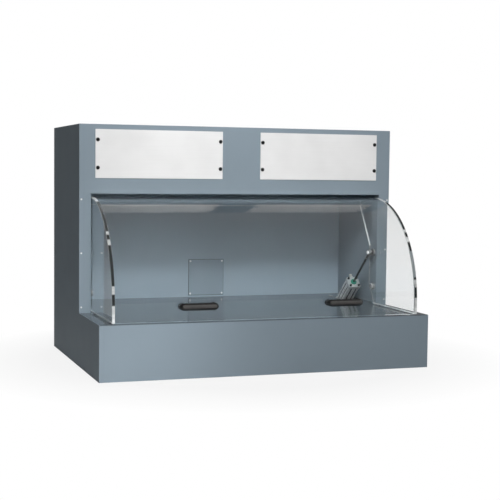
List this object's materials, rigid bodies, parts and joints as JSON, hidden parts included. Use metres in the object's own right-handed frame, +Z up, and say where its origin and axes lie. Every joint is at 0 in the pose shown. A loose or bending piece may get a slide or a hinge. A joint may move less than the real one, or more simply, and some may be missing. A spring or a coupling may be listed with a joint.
{
  "type": "bench test enclosure",
  "caption": "Bench-top electrical test enclosure: painted steel cabinet, rack plates in its head, and a clear curved hood that a pneumatic cylinder swings back into the chamber.",
  "frame": {"origin": "middle of the base's footprint, on the surface that it stands on", "axes": "+X to the right seen from the front, -Y towards the front, +Z up"},
  "size_m": [1.232, 0.924, 0.88],
  "materials": {
    "cabinet_paint": "satin blue-grey powder coat",
    "plate_finish": "light grey matt plate",
    "clear_acrylic": "clear polished acrylic",
    "black_plastic": "black moulded plastic",
    "black_steel": "black oxide",
    "bright_steel": "zinc plated",
    "rod_chrome": "hard chrome",
    "cylinder_aluminium": "anodised",
    "fitting_brass": "nickel plated",
    "seal_green": "green wiper ring",
    "bearing_plastic": "dark bearing plastic",
    "buffer_rubber": "black rubber"
  },
  "bodies": {
    "cabinet": {"base_plate": "cabinet_paint", "left_side_panel": "cabinet_paint", "right_side_panel": "cabinet_paint", "roof_panel": "cabinet_paint", "rear_panel": "cabinet_paint", "rear_panel_screws": "bright_steel", "base_front_panel": "cabinet_paint", "worktop": "cabinet_paint", "front_fascia": "cabinet_paint", "left_post": "cabinet_paint", "right_post": "cabinet_paint", "post_rivets": "bright_steel", "chamber_back_wall": "cabinet_paint", "chamber_left_wall": "cabinet_paint", "chamber_right_wall": "cabinet_paint", "chamber_ceiling": "cabinet_paint", "left_blank_plate": "plate_finish", "right_blank_plate": "plate_finish", "blank_plate_screws": "black_steel", "blank_plate_washers": "black_plastic", "blank_plate_nuts": "bright_steel", "rack_rails": "bright_steel", "wall_plate": "cabinet_paint", "wall_plate_screws": "bright_steel", "pivot_bolts": "bright_steel", "pivot_nuts": "bright_steel", "pivot_washers": "bearing_plastic", "hood_buffers": "buffer_rubber", "clevis_bracket": "bright_steel", "clevis_pin": "bright_steel", "bracket_screws": "bright_steel", "interlock_sensor": "black_plastic", "solenoid_valve": "cylinder_aluminium", "valve_coil": "black_plastic", "valve_screws": "bright_steel", "air_inlet_fitting": "fitting_brass", "control_socket": "black_plastic"},
    "hood": {"hood_front_sheet": "clear_acrylic", "hood_left_side": "clear_acrylic", "hood_right_side": "clear_acrylic", "pivot_bushes": "bearing_plastic", "left_handle": "black_plastic", "right_handle": "black_plastic", "handle_screws": "bright_steel", "drive_lug": "cylinder_aluminium", "drive_lug_screws": "bright_steel", "interlock_magnet": "black_plastic"},
    "barrel": {"cylinder_tube": "cylinder_aluminium", "cylinder_rear_cap": "cylinder_aluminium", "cylinder_front_cap": "cylinder_aluminium", "rod_seal": "seal_green", "cap_screws": "bright_steel", "cylinder_fittings": "fitting_brass"},
    "rod": {"piston": "cylinder_aluminium", "piston_rod": "rod_chrome", "rod_nut": "bright_steel", "rod_end": "bright_steel", "rod_end_bolt": "bright_steel"}
  },
  "joints": [
    {"name": "hood_swing", "type": "hinge", "parent": "cabinet", "child": "hood", "pos_m": [0, -0.0635, 0.266], "axis": [-1, 0, 0], "range_deg": [0, 48]},
    {"name": "cylinder_tilt", "type": "hinge", "parent": "cabinet", "child": "barrel", "pos_m": [0.543, 0.205, 0.156], "axis": [-1, 0, 0], "range_deg": [0, 8.4]},
    {"name": "rod_slide", "type": "slide", "parent": "barrel", "child": "rod", "axis": [0, -0.7479, 0.6639], "range_m": [-0.1, 0]}
  ],
  "couplings": [
    {"joint": "cylinder_tilt", "follows": "hood_swing", "ratio": 0.17369},
    {"joint": "rod_slide", "follows": "hood_swing", "m_per_rad": -0.11936}
  ]
}
